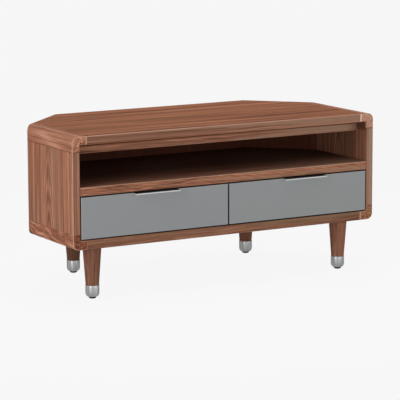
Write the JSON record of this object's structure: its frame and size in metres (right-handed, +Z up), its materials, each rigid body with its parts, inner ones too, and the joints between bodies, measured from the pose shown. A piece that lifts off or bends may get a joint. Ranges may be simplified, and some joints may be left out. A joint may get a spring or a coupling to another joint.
{
  "type": "corner tv cabinet",
  "caption": "Low corner television cabinet with cut rear corners, rounded corner mouldings, an open compartment over side-by-side drawers with edge pulls, and tapered legs in metal ferrules.",
  "frame": {"origin": "middle of the bounding box at floor level", "axes": "+X to the right seen from the front, +Y from the front to the back, +Z up"},
  "size_m": [1.1, 0.5274, 0.52],
  "materials": {
    "walnut": "satin oiled walnut veneer and solid walnut",
    "moulding_walnut": "satin oiled solid walnut",
    "lipping": "satin pale wood",
    "drawer_box": "matt birch",
    "grey_lacquer": "matt grey lacquer on board",
    "pull": "satin anodised aluminium",
    "ferrule": "satin metal",
    "slide": "zinc plated",
    "glide": "black nylon"
  },
  "bodies": {
    "cabinet": {"top_board": "walnut", "bottom_board": "walnut", "left_side_panel": "walnut", "right_side_panel": "walnut", "top_left_moulding": "moulding_walnut", "top_right_moulding": "moulding_walnut", "bottom_left_moulding": "moulding_walnut", "bottom_right_moulding": "moulding_walnut", "top_left_lipping": "lipping", "top_right_lipping": "lipping", "bottom_left_lipping": "lipping", "bottom_right_lipping": "lipping", "left_diagonal_back": "walnut", "right_diagonal_back": "walnut", "centre_back": "walnut", "top_rail": "walnut", "shelf": "walnut", "divider": "walnut", "front_left_leg": "walnut", "front_right_leg": "walnut", "rear_left_leg": "walnut", "rear_right_leg": "walnut", "front_left_ferrule": "ferrule", "front_right_ferrule": "ferrule", "rear_left_ferrule": "ferrule", "rear_right_ferrule": "ferrule", "front_left_glide": "glide", "front_right_glide": "glide", "rear_left_glide": "glide", "rear_right_glide": "glide", "left_outer_slide_rail": "slide", "left_inner_slide_rail": "slide", "right_outer_slide_rail": "slide", "right_inner_slide_rail": "slide"},
    "left_drawer": {"left_drawer_front": "grey_lacquer", "left_drawer_pull": "pull", "left_drawer_back": "drawer_box", "left_drawer_bottom": "drawer_box", "left_drawer_outer_side": "drawer_box", "left_drawer_inner_side": "drawer_box", "left_outer_slide_runner": "slide", "left_inner_slide_runner": "slide"},
    "right_drawer": {"right_drawer_front": "grey_lacquer", "right_drawer_pull": "pull", "right_drawer_back": "drawer_box", "right_drawer_bottom": "drawer_box", "right_drawer_outer_side": "drawer_box", "right_drawer_inner_side": "drawer_box", "right_outer_slide_runner": "slide", "right_inner_slide_runner": "slide"},
    "left_slide_middles": {"left_outer_slide_middle": "slide", "left_inner_slide_middle": "slide"},
    "right_slide_middles": {"right_outer_slide_middle": "slide", "right_inner_slide_middle": "slide"}
  },
  "joints": [
    {"name": "left_drawer_slide", "type": "slide", "parent": "cabinet", "child": "left_drawer", "axis": [0, -1, 0], "range_m": [0, 0.23]},
    {"name": "right_drawer_slide", "type": "slide", "parent": "cabinet", "child": "right_drawer", "axis": [0, -1, 0], "range_m": [0, 0.23]},
    {"name": "left_middle_slide", "type": "slide", "parent": "cabinet", "child": "left_slide_middles", "axis": [0, -1, 0], "range_m": [0, 0.115]},
    {"name": "right_middle_slide", "type": "slide", "parent": "cabinet", "child": "right_slide_middles", "axis": [0, -1, 0], "range_m": [0, 0.115]}
  ],
  "couplings": [
    {"joint": "left_middle_slide", "follows": "left_drawer_slide", "ratio": 0.5},
    {"joint": "right_middle_slide", "follows": "right_drawer_slide", "ratio": 0.5}
  ]
}
